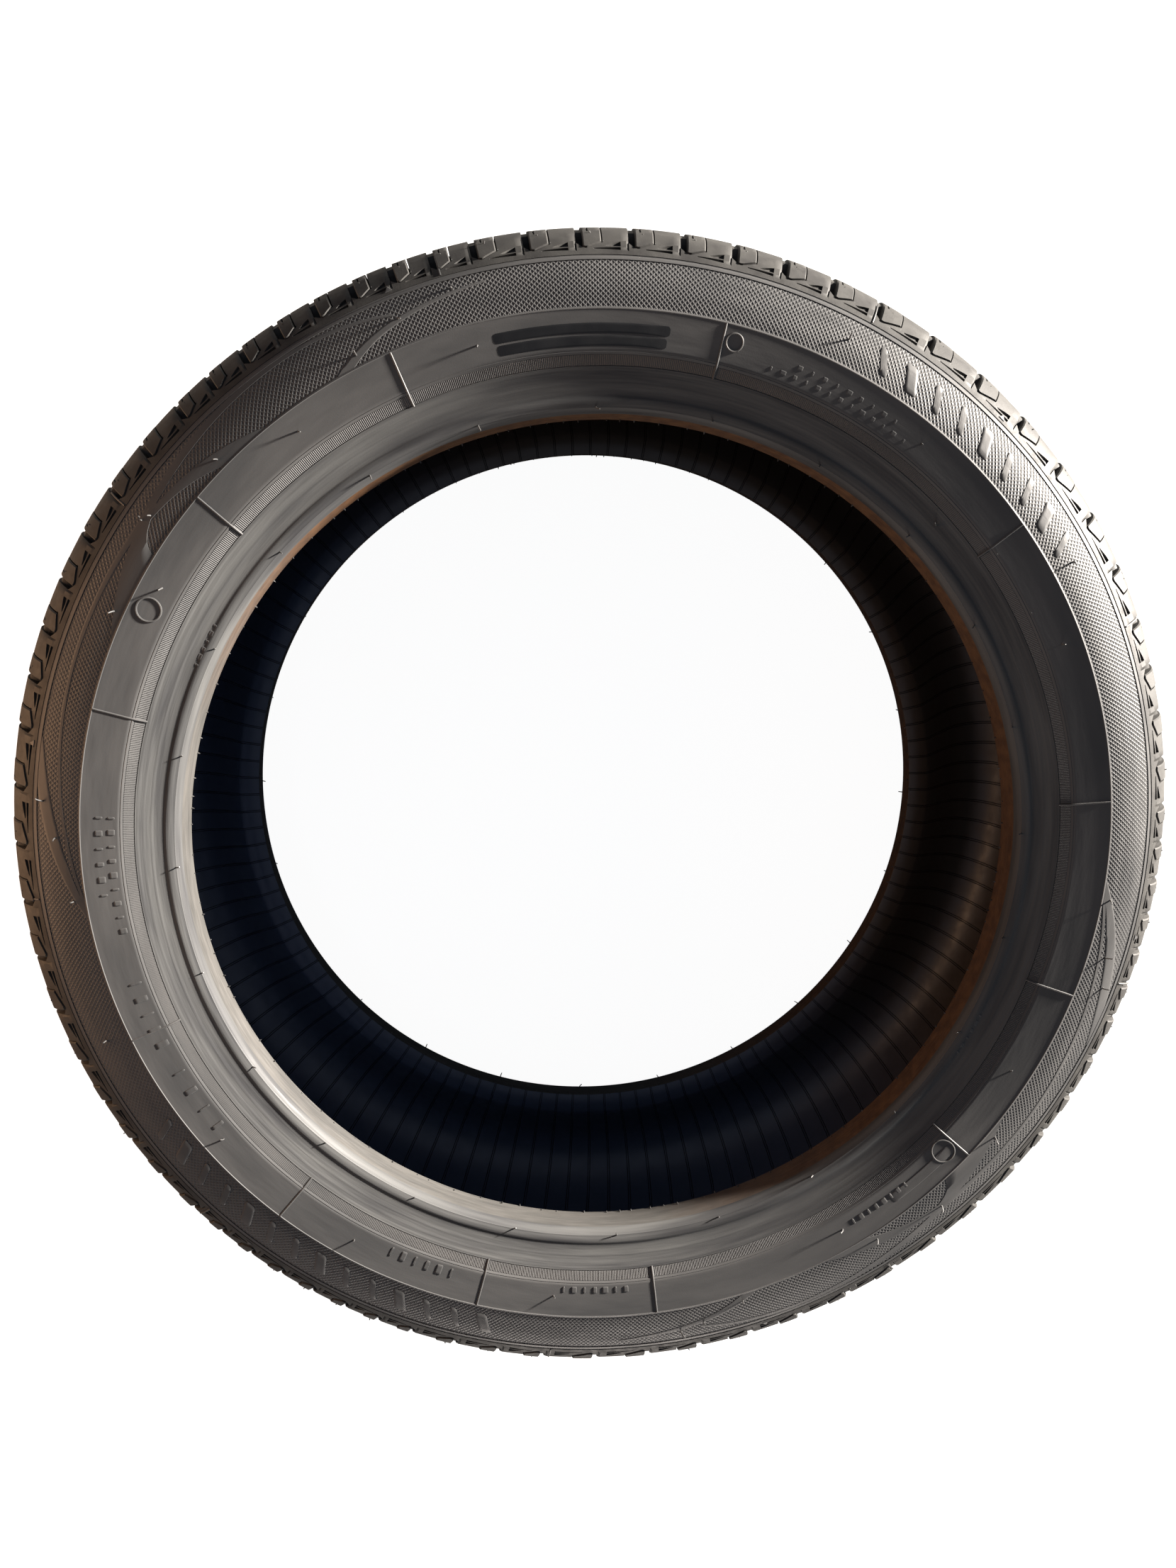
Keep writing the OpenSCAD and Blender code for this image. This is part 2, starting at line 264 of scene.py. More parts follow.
def add_piece(name, points, faces, materials, zones=None, sharp=35):
    """Makes a mesh of points in millimetres and faces of three or four corners. zones gives each face its
    material, and edges sharper than sharp degrees stay crisp."""
    points, faces = outward(points, faces)
    corners = [face[:3] if face[2] == face[3] else face for face in faces.tolist()]
    mesh = bpy.data.meshes.new(name)
    mesh.from_pydata((points * MM).tolist(), [], corners)
    for material in materials:
        mesh.materials.append(material)
    if zones is not None:
        mesh.polygons.foreach_set("material_index", np.asarray(zones, np.int32))
    mesh.polygons.foreach_set("use_smooth", np.ones(len(mesh.polygons), bool))
    mesh.set_sharp_from_angle(angle=np.radians(sharp))
    mesh.update()
    piece = bpy.data.objects.new(name, mesh)
    bpy.context.scene.collection.objects.link(piece)
    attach(piece, "root")
    print(name, "triangles:", len(triangles_of(faces)))
    return piece


def add_pair(name, shells, material, sharp=35):
    """Shells on the upper side, and the same ones half a turn about X on the lower side."""
    points, faces = joined(shells)
    add_piece("upper_" + name, points, faces, [material], sharp=sharp)
    add_piece("lower_" + name, turned_over(points), faces, [material], sharp=sharp)


# %% [markdown]
# ## Tubes and pads
# Small raised forms come in two kinds. A rib, a ring or a hair is a tube along a path, and a plate or a bar
# is a pad. Blender's curve bevel and solidify modifier make such forms as well, but a shell of our own can
# follow the skin's curve and taper as it goes.

# %% Tubes and pads
pad_foot = 0.6


def with_caps(rings):
    """Rings of points, one after the other, as a closed shell: the sides, and a fan over each end."""
    rows, columns = rings.shape[:2]
    rim = np.arange(columns)
    last = (rows - 1) * columns + rim
    start, end = np.full(columns, rows * columns), np.full(columns, rows * columns + 1)
    fans = [np.stack([np.roll(rim, -1), rim, start, start], axis=-1),
            np.stack([last, np.roll(last, -1), end, end], axis=-1)]
    points = np.concatenate([rings.reshape(-1, 3), rings[:1].mean(axis=1), rings[-1:].mean(axis=1)])
    return points, np.concatenate([grid_faces(rows, columns, close_rows=False), *fans])


def tube(path, radii, sides=6, closed=False, across=(0.31, 0.22, 0.92)):
    """A round tube along a path: at each point a ring in the plane across the path's direction. across is
    any direction that the path never takes."""
    path = np.asarray(path, float)
    along = np.roll(path, -1, axis=0) - np.roll(path, 1, axis=0) if closed else np.gradient(path, axis=0)
    along /= np.linalg.norm(along, axis=1, keepdims=True)
    aside = np.cross(along, across)
    aside /= np.linalg.norm(aside, axis=1, keepdims=True)
    over = np.cross(along, aside)
    turn = np.linspace(0, 2 * np.pi, sides, endpoint=False)
    ring = np.cos(turn)[None, :, None] * aside[:, None] + np.sin(turn)[None, :, None] * over[:, None]
    radii = np.broadcast_to(np.asarray(radii, float), (len(path),))
    rings = path[:, None] + radii[:, None, None] * ring
    if closed:
        return rings.reshape(-1, 3), grid_faces(*rings.shape[:2])
    return with_caps(rings)


def pad(r, degrees, outline, height, bevel=0.35):
    """A raised pad with an outline about its middle, in millimetres round the tyre and out from the bead.
    Its top follows the skin: the outline shrinks towards the middle in rings that all lie at the pad's
    height, and its foot is sunk below the skin."""
    outline = np.asarray(outline, float)
    size = np.linalg.norm(outline, axis=1).min()
    shares = [1, 1, max(0.5, 1 - bevel / size), 0.55, 0.2]
    heights = [-pad_foot, height - bevel / 2, height, height, height]
    rings = [on_skin(r + share * outline[:, 1], degrees + np.degrees(share * outline[:, 0] / r), lift)
             for share, lift in zip(shares, heights)]
    return with_caps(np.stack(rings))


def rounded(width, height, corner, slant=0.0):
    """Outline of a rectangle with round corners, with points along its long sides, leaned by a slant."""
    turn = np.linspace(0, np.pi / 2, 4)
    arc = corner * np.stack([np.cos(turn), np.sin(turn)], axis=-1)
    middle = np.array([width / 2 - corner, height / 2 - corner])
    stations = np.linspace(1, -1, max(2, int(width / 6)) + 1)[1:-1, None]
    long_side = stations * middle * [1, 0] + [0, height / 2]
    top = np.concatenate([arc + middle, long_side, arc[::-1] * [-1, 1] + middle * [-1, 1]])
    outline = np.concatenate([top, -top])
    return outline + slant * outline[:, [1]] / height * [1, 0]


# %% [markdown]
# ## Rubber
# Tyre rubber is natural and synthetic rubber filled with carbon black, pressed against a steel mould. Its
# colour is a near-black grey, so what the eye reads is the sheen: broad and soft, in smears that run round
# the ring as the turning marks of the mould do. A photograph of rubber could be wrapped round the tyre, but
# it would have a seam and a light of its own. Noise has neither, and its scales here are real sizes.

# %% Colours and nodes


def linear(hex_code):
    """sRGB hex to the linear values that shaders work in: a power of 2.4 with a short straight foot."""
    srgb = np.array([int(hex_code[k:k + 2], 16) / 255 for k in (1, 3, 5)])
    values = np.where(srgb <= 0.04045, srgb / 12.92, ((srgb + 0.055) / 1.055) ** 2.4)
    return (*values, 1.0)


def add_node(tree, kind, settings=None, **links):
    """Adds a node, sets its properties and its unlinked sockets, and links the sockets that are given."""
    node = tree.nodes.new(kind)
    for key, value in (settings or {}).items():
        if key in node.inputs.keys():
            node.inputs[key].default_value = value
        else:
            setattr(node, key, value)
    for key, source in links.items():
        tree.links.new(source, node.inputs[key.replace("_", " ")])
    return node


def worked_out(tree, operation, first, second=None):
    """The result of one sum on the shader's numbers. Each input is a number or another node's output."""
    node = add_node(tree, "ShaderNodeMath", {"operation": operation})
    for socket, value in zip(node.inputs, (first, second)):
        if isinstance(value, (int, float)):
            socket.default_value = value
        elif value is not None:
            tree.links.new(value, socket)
    return node.outputs[0]


def new_material(name):
    """An empty material: its node tree, its shader and a node that gives Object coordinates in metres."""
    material = bpy.data.materials.new(name)
    material.use_nodes = True
    tree = material.node_tree
    tree.nodes.clear()
    shader = add_node(tree, "ShaderNodeBsdfPrincipled")
    output = add_node(tree, "ShaderNodeOutputMaterial")
    tree.links.new(shader.outputs["BSDF"], output.inputs["Surface"])
    where = add_node(tree, "ShaderNodeTexCoord").outputs["Object"]
    return material, tree, shader, where


def drawn_round(tree, where, stretch):
    """Four coordinates that change fast across the ring and slowly round it: radius, height, and x and y
    over a stretch. x and y have no seam, as an angle would have."""
    x, y, z = add_node(tree, "ShaderNodeSeparateXYZ", Vector=where).outputs
    squares = worked_out(tree, "ADD", worked_out(tree, "MULTIPLY", x, x),
                         worked_out(tree, "MULTIPLY", y, y))
    vector = add_node(tree, "ShaderNodeCombineXYZ", X=worked_out(tree, "SQRT", squares), Y=z,
                      Z=worked_out(tree, "DIVIDE", x, stretch)).outputs[0]
    return vector, worked_out(tree, "DIVIDE", y, stretch)


def noise(tree, where, size_mm, detail=4.0):
    """Noise whose blotches are about size_mm across: its scale is one over that size in metres. where is
    three coordinates, or a pair of three and a fourth."""
    vector, fourth = where if isinstance(where, tuple) else (where, None)
    node = add_node(tree, "ShaderNodeTexNoise", {"Scale": 1000 / size_mm, "Detail": detail}, Vector=vector)
    if fourth is not None:
        node.noise_dimensions = "4D"
        tree.links.new(fourth, node.inputs["W"])
    return node.outputs["Fac"]


def spread(tree, factor, low, high, to_low, to_high):
    """Stretches a factor: low and high go to to_low and to_high, and nothing goes past them."""
    limits = {"From Min": low, "From Max": high, "To Min": to_low, "To Max": to_high}
    node = add_node(tree, "ShaderNodeMapRange", limits, Value=factor)
    return node.outputs["Result"]


def clouds(tree, where, size_mm, detail=4.0, limits=(0.35, 0.65), ends=(0, 1)):
    """Noise whose middle range, between two limits, is stretched over the way from one end to the other."""
    return spread(tree, noise(tree, where, size_mm, detail), *limits, *ends)


def mixed(tree, factor, colour_1, colour_2):
    """A colour between two: the first where the factor is 0, and the second where it is 1. A Mix node has
    sockets for every kind of value: colours go into the seventh and eighth and come out of the third."""
    node = add_node(tree, "ShaderNodeMix", {"data_type": "RGBA"})
    tree.links.new(factor, node.inputs["Factor"])
    for socket, colour in ((node.inputs[6], colour_1), (node.inputs[7], colour_2)):
        if isinstance(colour, str):
            socket.default_value = linear(colour)
        else:
            tree.links.new(colour, socket)
    return node.outputs[2]


# %% Moulded rubber


def rubber(name, base, second_shade, gloss, cloud_mm=45, grain_mm=0.7, grain_depth=0.03, stretch=1.0, shine=0.5,
           smear_depth=0.4):
    """Carbon-black rubber: two near greys in clouds, gloss as a pair of roughness limits, and a fine grain.
    A real grain is about 0.1 mm across, and it is drawn coarser to show. With a stretch, the clouds and
    smears are drawn out round the ring. Depths are in millimetres, and shine sets how much it reflects."""
    material, tree, shader, where = new_material(name)
    shader.inputs["Specular IOR Level"].default_value = shine
    laid = drawn_round(tree, where, stretch) if stretch > 1 else where
    colour = mixed(tree, clouds(tree, laid, cloud_mm), base, second_shade)
    tree.links.new(colour, shader.inputs["Base Color"])
    roughness = clouds(tree, laid, cloud_mm / 4, 6.0, (0.3, 0.7), gloss)
    tree.links.new(roughness, shader.inputs["Roughness"])
    bump = add_node(tree, "ShaderNodeBump", {"Strength": 0.5, "Distance": grain_depth * MM},
                    Height=noise(tree, where, grain_mm, 2.0))
    if stretch > 1:
        bump = add_node(tree, "ShaderNodeBump", {"Strength": 0.6, "Distance": smear_depth * MM},
                        Height=noise(tree, laid, cloud_mm / 3, 3.0), Normal=bump.outputs["Normal"])
    tree.links.new(bump.outputs["Normal"], shader.inputs["Normal"])
    return material


# %% Painted warm light
# The tyre's inside is painted brown on one side, in the direction of 40 degrees: painted warm light,
# standing in for the warm light from the left that falls on that side. These are the direction's x and y.
warm_side_x, warm_side_y = 0.77, 0.64
warm_cloud_mm = 6


def towards_warm_side(tree, where, start, end):
    """A share that grows from 0 to 1 between two distances, in metres, along the direction of the painted
    warm light.
    """
    x, y, z = add_node(tree, "ShaderNodeSeparateXYZ", Vector=where).outputs
    along = worked_out(tree, "ADD", worked_out(tree, "MULTIPLY", x, warm_side_x),
                       worked_out(tree, "MULTIPLY", y, warm_side_y))
    return spread(tree, along, start, end, 0, 1)


def add_painted_warm_light(material, start, end, warm_tint, second_shade):
    """Paints warm light over one side of a material, as brown of two shades, over what it has there already.
    """
    tree = material.node_tree
    shader = next(node for node in tree.nodes if node.type == "BSDF_PRINCIPLED")
    where = add_node(tree, "ShaderNodeTexCoord").outputs["Object"]
    share = towards_warm_side(tree, where, start, end)
    painted_warm = mixed(tree, clouds(tree, where, warm_cloud_mm), warm_tint, second_shade)
    unwarmed = shader.inputs["Base Color"].links[0].from_socket
    tree.links.new(mixed(tree, share, unwarmed, painted_warm), shader.inputs["Base Color"])


# %% Ruled liner
# Near black painted into the liner's grooves: painted shade
groove_shade = "#020203"


def ruled_liner(name, unwarmed, painted_warm, gloss, pairs_round, lean, line_share, line_depth):
    """The butyl liner: smooth and dark, with pairs of fine grooves that cross it at a small lean, painted
    near black as shade. The angle, counted in pairs, gains the height times the lean. Its fraction tells how
    far a point is from the middle of its pair, and each groove lies two line shares to one side of that
    middle."""
    material, tree, shader, where = new_material(name)
    x, y, z = add_node(tree, "ShaderNodeSeparateXYZ", Vector=where).outputs
    angle = worked_out(tree, "ARCTAN2", y, x)
    pairs = worked_out(tree, "ADD", worked_out(tree, "MULTIPLY", angle, pairs_round / (2 * np.pi)),
                       worked_out(tree, "MULTIPLY", z, lean))
    centred = worked_out(tree, "SUBTRACT", worked_out(tree, "FRACT", pairs), 0.5)
    from_middle = worked_out(tree, "ABSOLUTE", centred)
    from_groove = worked_out(tree, "ABSOLUTE", worked_out(tree, "SUBTRACT", from_middle, 2 * line_share))
    flat = spread(tree, from_groove, 0.3 * line_share, line_share, 0, 1)
    # Painted light: blue-grey for cool light, turning brown towards one side for warm light
    plain = mixed(tree, towards_warm_side(tree, where, -0.06, 0.1), unwarmed, painted_warm)
    # The grooves are painted near black as shade, and a bump gives their depth
    tree.links.new(mixed(tree, flat, groove_shade, plain), shader.inputs["Base Color"])
    tree.links.new(clouds(tree, where, 9, 5.0, (0.3, 0.7), gloss), shader.inputs["Roughness"])
    bump = add_node(tree, "ShaderNodeBump", {"Strength": 1.0, "Distance": line_depth * MM}, Height=flat)
    tree.links.new(bump.outputs["Normal"], shader.inputs["Normal"])
    return material


# %% The finishes of the tyre
# Sidewall rubber, moulded: faint warm clouds, and a soft sheen that shows each ridge in a low light
sidewall_rubber = rubber("sidewall_rubber", "#404040", "#51504f", (0.38, 0.54), cloud_mm=24, stretch=5,
                         shine=0.35)

# Bead rubber, which a wheel's rim has rubbed: small smears, drawn far round the ring, and a duller sheen
bead_rubber = rubber("bead_rubber", "#383839", "#535352", (0.44, 0.6), cloud_mm=7, stretch=14, shine=0.2)

# The bead's base, which sits on the rim: finer smears, and brown painted on one side as warm light
bead_base_rubber = rubber("bead_base_rubber", "#3e3d3b", "#4e4c49", (0.4, 0.6), cloud_mm=5, stretch=10)
add_painted_warm_light(bead_base_rubber, -0.12, 0.02, "#493220", "#5c4129")

# Butyl liner, pressed by a bladder: smooth, with pairs of fine grooves; its blue-grey is painted cool light,
# and its brown on one side painted warm light
liner_rubber = ruled_liner("butyl_liner", "#3d4659", "#4a4038", (0.3, 0.5),
                           pairs_round=124, lean=6.0, line_share=0.022, line_depth=0.4)

# Tread rubber, moulded: dull and even, with a grain that breaks up what sheen it has
tread_rubber = rubber("tread_rubber", "#2f2e2d", "#3c3b39", (0.5, 0.68), cloud_mm=14, grain_mm=0.9,
                      grain_depth=0.08, shine=0.2)

# Plates, pressed by polished steel: near black, with the tightest gloss on the tyre
plate_rubber = rubber("plate_rubber", "#111112", "#181819", (0.28, 0.4))
print("materials:", len(bpy.data.materials))

# %% [markdown]
# ## The casing
# The casing is what the tread sits on: liner, beads and sidewalls, one closed ring. Its section follows the
# real parts in order: the liner, the toe, the tapered bead base, the round heel, the dished flange groove
# that the wheel's rim lies in, the serrated ring, the label ring, and a recess for the diamond pattern.
# Each stretch carries the number of its finish, so that one ring has four finishes with clean borders.

# %% Section of the casing
relief = 0.5
recess_depth = relief + 0.6
serrated_start, serrated_end = 250.5, 255.4
pattern_r, pattern_w = 276.5, 23.5
pattern_end = pattern_r + pattern_w
pattern_z, shoulder_z = float(side_z(pattern_r)), float(side_z(shoulder_r))
under_tread_r = tyre_r - groove_depth - 2.5

# The liner bulges from the toe's lip to its widest place, and then arches over to the crown
liner_widest = np.array([widest_r + 4, half_w - wall_t])
liner_crown_r = tyre_r - crown_t
bead_lip = np.array([bead_r + toe_lip, toe_z - 1.5])
lower_liner = cubic([bead_lip, bead_lip + [9, 5], liner_widest - [13, 0], liner_widest], 14)
upper_liner = cubic([liner_widest, liner_widest + [17, 0], [liner_crown_r, liner_widest[1] - 17],
                     [liner_crown_r, liner_widest[1] - 57]], 16)


def with_ridges(line, ridges):
    """Adds thin ridges to a line: each is a distance along it, a height, which may be negative, and a half
    width. A ridge takes three points, and the line's own points under it are left out."""
    at = travelled(line)
    kept = np.ones(len(at), bool)
    added = []
    for middle, height, half in ridges:
        kept &= np.abs(at - middle) > half
        added += [(middle - half, 0), (middle, height), (middle + half, 0)]
    added += [(distance, 0) for distance in at[kept]]
    distances, heights = np.array(sorted(added)).T
    return walk(line, distances) + heights[:, None] * normals_at(line, distances)


# Radius, height and half width of the thin ridges round the bead
ridge_sizes = ((231.4, 0.2, 0.45), (242.5, 0.12, 0.5), (246.2, 0.1, 0.6), (248.9, 0.16, 0.6))
bead_ridges = [(float(skin_at(r)), height, half) for r, height, half in ridge_sizes]

# Radius and height off the smooth sidewall, over the serrated ring's recess and the fine rim beside it
side_steps = [
    (flange_r + 0.3, 0.0), (serrated_start, -relief), (serrated_end, -relief), (serrated_end + 0.9, 0.08),
    (serrated_end + 1.2, 0.08), (serrated_end + 1.5, -0.15), (serrated_end + 1.8, 0.0)]

# The finishes by number, in the order of the casing's materials, and the section's upper half in stretches
SIDE, BEAD, BASE, LINER = range(4)
half_section = [
    (LINER, upper_liner[::-1]),
    (LINER, lower_liner[-2::-1]),
    (LINER, [[bead_r + 6, toe_z - 1.2], [bead_r + 1.6, toe_z - 0.4]]),
    (BASE, [[bead_r, toe_z + 0.6], [bead_r, toe_z + toe_land], [bead_r + 0.45, toe_z + 9]]),
    (BEAD, with_ridges(np.concatenate([heel, flange]), bead_ridges)),
    (SIDE, [[r, float(side_z(r)) + height] for r, height in side_steps]),
    (SIDE, side_line(serrated_end + 3, pattern_r - 0.6, 13)),
    (SIDE, [[pattern_r - 0.3, pattern_z + 0.3], [pattern_r + 0.5, pattern_z + 0.03]]),
    (SIDE, side_line(pattern_r + 0.8, pattern_end - 0.3, 8, -recess_depth)),
    (SIDE, side_line(pattern_end, pattern_end + 1.2, 3, 0.15)),
    (SIDE, side_line(pattern_end + 1.5, pattern_end + 1.9, 2, -0.3)),
    (SIDE, [[shoulder_r - 0.1, shoulder_z - 0.2], [shoulder_r + 1, shoulder_z - 4]]),
    (SIDE, [[under_tread_r - 5, 84], [under_tread_r, 66], [under_tread_r, 0]]),
]
half_points = np.concatenate([np.asarray(points, float) for zone, points in half_section])
half_zones = np.concatenate([np.full(len(points), zone) for zone, points in half_section])
casing_line = np.concatenate([half_points, half_points[-2::-1] * [1, -1]])
casing_zone = np.concatenate([half_zones[:-1], half_zones[-2::-1], [LINER]])

# %% The casing as one ring
round_steps = 360
turn = np.linspace(0, 2 * np.pi, round_steps, endpoint=False)
casing_faces = grid_faces(len(casing_line), round_steps)
casing = add_piece("casing", spun(casing_line, turn), casing_faces,
                   [sidewall_rubber, bead_rubber, bead_base_rubber, liner_rubber],
                   zones=np.repeat(casing_zone, round_steps))
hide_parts("tyre")

# %% [markdown]
# ## The diamond pattern
# The outer half of the sidewall is engraved with two families of fine ridges that cross at right angles. A
# bump map would vanish at a low angle, so each diamond is real: four crossing points at the top of the
# ridges, and a small square floor below them. The crossings form rows, each half a step from the next.

# %% Ridges of the diamond pattern
# Diamonds round the tyre and the height of one, the share of it that is floor, and the floor's depth
diamonds_round, diamond_h = 700, 2.45
floor_share, pit_depth = 0.3, 0.22

# How deep the ridges lie under the smooth skin and the back under the floors, and how far the pattern
# reaches under the rims beside it
ridge_sink, pattern_back = 0.15, 0.6
under_rim, past_end = 1.2, 1.0


def diamond_shell(r1, r2):
    """Points and faces of a closed ring of diamonds. Rows of crossings lie about half a height apart, and
    every other row is half a step further round. A diamond's floor is its outline shrunk about its middle
    and sunk by the pit's depth. The back is a flat strip between the zigzag borders."""
    rows = 2 * int(round((r2 - r1) / diamond_h)) + 1
    apart = (r2 - r1) / (rows - 1)
    step = 2 * np.pi / diamonds_round
    row, column = np.meshgrid(np.arange(rows), np.arange(diamonds_round), indexing="ij")
    angle = (column + 0.5 * (row % 2)) * step
    radius = r1 + row * apart
    number = row * diamonds_round + column

    # The four crossings round each diamond, by their numbers
    mid, here = row[1:-1], column[1:-1]
    east = number[1:-1]
    west = mid * diamonds_round + (here - 1) % diamonds_round
    beside = (here - 1 + mid % 2) % diamonds_round
    south = (mid - 1) * diamonds_round + beside
    north = (mid + 1) * diamonds_round + beside
    rim = np.stack([south, east, north, west], axis=-1)

    # Its floor, and a slope down to the floor from each side of the rim
    centre_r, centre_a = radius[1:-1], angle[1:-1] - step / 2
    reach_r, reach_a = floor_share * apart, floor_share * step / 2
    floor_r = np.stack([centre_r - reach_r, centre_r, centre_r + reach_r, centre_r], axis=-1)
    floor_a = np.stack([centre_a, centre_a + reach_a, centre_a, centre_a - reach_a], axis=-1)
    first_floor = rows * diamonds_round
    floor = first_floor + np.arange(floor_r.size).reshape(floor_r.shape)
    slopes = [np.stack([rim[..., k], rim[..., (k + 1) % 4], floor[..., (k + 1) % 4], floor[..., k]], axis=-1)
              for k in range(4)]
    faces = [part.reshape(-1, 4) for part in (*slopes, floor)]

    # The zigzag borders, a wall down from each, and the back between the walls
    zig = np.stack([number[0], number[1]], axis=-1).ravel()
    zag = np.stack([number[-1], number[-2]], axis=-1).ravel()
    back_low = first_floor + floor_r.size + np.arange(len(zig))
    back_high = back_low + len(zig)
    for edge, back, out in ((zig, back_low, 1), (zag, back_high, -1)):
        wall = np.stack([edge, np.roll(edge, -1), np.roll(back, -1), back], axis=-1)
        faces.append(wall[:, ::out])
    faces.append(np.stack([back_low, np.roll(back_low, -1), np.roll(back_high, -1), back_high], axis=-1))

    borders = np.concatenate([zig, zag])
    r = np.concatenate([radius.ravel(), floor_r.ravel(), radius.ravel()[borders]])
    a = np.concatenate([angle.ravel(), floor_a.ravel(), angle.ravel()[borders]])
    depth = ridge_sink + np.concatenate([np.full(radius.size, 0), np.full(floor_r.size, pit_depth),
                                         np.full(len(borders), pit_depth + pattern_back)])
    points = np.stack([r * np.cos(a), r * np.sin(a), side_z(r) - depth], axis=-1)
    return points, np.concatenate(faces)


diamonds = diamond_shell(pattern_r - under_rim, pattern_end + past_end)
add_pair("diamonds", [diamonds], sidewall_rubber, sharp=20)

# %% [markdown]
# ## The serrated ring and the ribs
# A fine serration rings the bead's outer edge. Thin ribs cross the sidewall where the mould lets its air
# out, and short ones cross the shoulder where the mould's nine segments meet. An array modifier could
# repeat one tooth round the ring, but a tooth at every other column of a single ring makes them all at
# once.

# %% The serrated ring
# Teeth round the ring and their height, and how deep their tops and the ring's foot lie under the skin
teeth_round, tooth_h = 1700, 0.26
tooth_sink, ring_foot = 0.15, 1.6


def serration():
    """A ring of radial teeth. Columns alternate between a tooth's top and the gap beside it."""
    columns = 2 * teeth_round
    angles = np.linspace(0, 2 * np.pi, columns, endpoint=False)
    top = tooth_h * (np.arange(columns) % 2) - tooth_h - tooth_sink
    foot = np.full(columns, -ring_foot)
    rows = [(serrated_start - 0.1, foot), (serrated_start + 0.1, top),
            (serrated_end - 0.1, top), (serrated_end + 0.1, foot)]
    line = np.stack([np.stack([np.full(columns, r), side_z(r) + lift], axis=-1) for r, lift in rows])
    return spun(line, angles), grid_faces(len(rows), columns)


add_pair("serration", [serration()], sidewall_rubber, sharp=15)

# %% Mould ribs and flash ribs
# Places of the ribs in degrees round the tyre, half their widths, and the radii that they run over
rib_angles = [5.4, 38.9, 77.9, 113, 137.9, 163.1, 201.2, 228.2, 254.2, 276.1, 319.1, 342]
flash_angles = [23.4, 64, 105.9, 143.2, 184.1, 222.3, 263.8, 303.5, 344.5]
rib_half_w, flash_half_w = 0.6, 0.5
rib_run = np.linspace(flange_r, pattern_r - 0.4, 14)
flash_run = np.linspace(shoulder_r + 0.6, shoulder_r + 12, 10)
mould_ribs = [tube(on_skin(rib_run, degrees, -0.1), rib_half_w, sides=8) for degrees in rib_angles]
flash_ribs = [tube(on_skin(flash_run, degrees), flash_half_w) for degrees in flash_angles]
add_pair("ribs", mould_ribs + flash_ribs, sidewall_rubber, sharp=60)

# %% [markdown]
# ## Ribbons
# Smooth ribbons sweep through the diamonds, six at each of two crossings. The diamonds could be left out
# along them, but the border would then be a staircase. So each ribbon is a shell of its own, laid over the
# pattern. It lies between two cubic curves, given in degrees from the crossing and as a share of the
# pattern's width.

# %% Ribbons through the diamonds
crossing_angles = (142.9, 312.5)
pattern_mid_r = 288
ribbon_foot, ribbon_bevel = 1.2, 0.12
ribbon_edges = [
    ([[-25, -0.1], [-29, 0.42], [-33, 0.56], [-41, 0.78]],
     [[-23, -0.1], [-28, 0.55], [-33, 0.66], [-41, 0.82]]),
    ([[-31.5, 0.64], [-24, 1.02], [-16, 0.98], [-1.5, 0.57]],
     [[-31.5, 0.70], [-24, 1.12], [-13, 1.12], [1, 0.66]]),
    ([[-17, -0.1], [-12, 0.25], [-7, 0.5], [0, 0.6]],
     [[-10.5, -0.1], [-7, 0.22], [-4, 0.4], [1, 0.5]]),
    ([[-2, 0.56], [1.5, 0.42], [2.6, 0.25], [2.6, -0.1]],
     [[-1, 0.66], [7, 0.5], [11, 0.1], [15, -0.1]]),
    ([[-1, 0.5], [14, 0.70], [28, 0.66], [44, -0.1]],
     [[-1, 0.66], [14, 0.77], [29, 0.72], [45.5, -0.1]]),
    ([[24.5, 0.96], [31, 0.62], [36, 0.45], [44, -0.1]],
     [[24.5, 1.1], [33, 0.98], [38, 0.6], [45, -0.1]]),
]


def ribbon(edge_1, edge_2, crossing, steps=44, across=7, lift=-0.02):
    """A leaf between two curves. Each ring of the shell runs over the leaf from edge to edge and back below.
    Its top lies just under the smooth skin, so that the skin hides what reaches past the pattern."""
    first, second = cubic(edge_1, steps), cubic(edge_2, steps)
    width_mm = np.linalg.norm((second - first) * [np.radians(pattern_mid_r), pattern_w], axis=1)
    inset = np.minimum(0.3, 0.3 / np.maximum(width_mm, 0.1))[:, None]
    shares = np.concatenate([np.zeros((steps + 1, 2)), inset + (1 - 2 * inset) * np.linspace(0, 1, across),
                             np.ones((steps + 1, 2))], axis=1)
    wall = [-ribbon_foot, lift - ribbon_bevel]
    heights = np.concatenate([wall, np.full(across, lift), wall[::-1]])
    at = first[:, None] + shares[..., None] * (second - first)[:, None]
    r = np.minimum(pattern_r + pattern_w * at[..., 1], pattern_end + past_end)
    turn = np.radians(crossing + at[..., 0])
    return with_caps(np.stack([r * np.cos(turn), r * np.sin(turn), side_z(r) + heights], axis=-1))


ribbons = [ribbon(*edges, crossing) for crossing in crossing_angles for edges in ribbon_edges]
add_pair("ribbons", ribbons, sidewall_rubber)

# %% [markdown]
# ## Plates, bars and rings
# A sidewall carries small low forms: blank plates, plain bars and rings on the label ring, a triangle at
# the shoulder beside each wear bar, and slanted bars in the diamonds. They could be drawn in a bump map,
# but their edges catch the low light, so each is a pad or a tube on the skin, placed by an angle and a
# radius.

# %% Plates, bars and rings
bar_widths = (1.1, 3.0, 1.1, 2.2, 3.4, 1.1, 2.6)

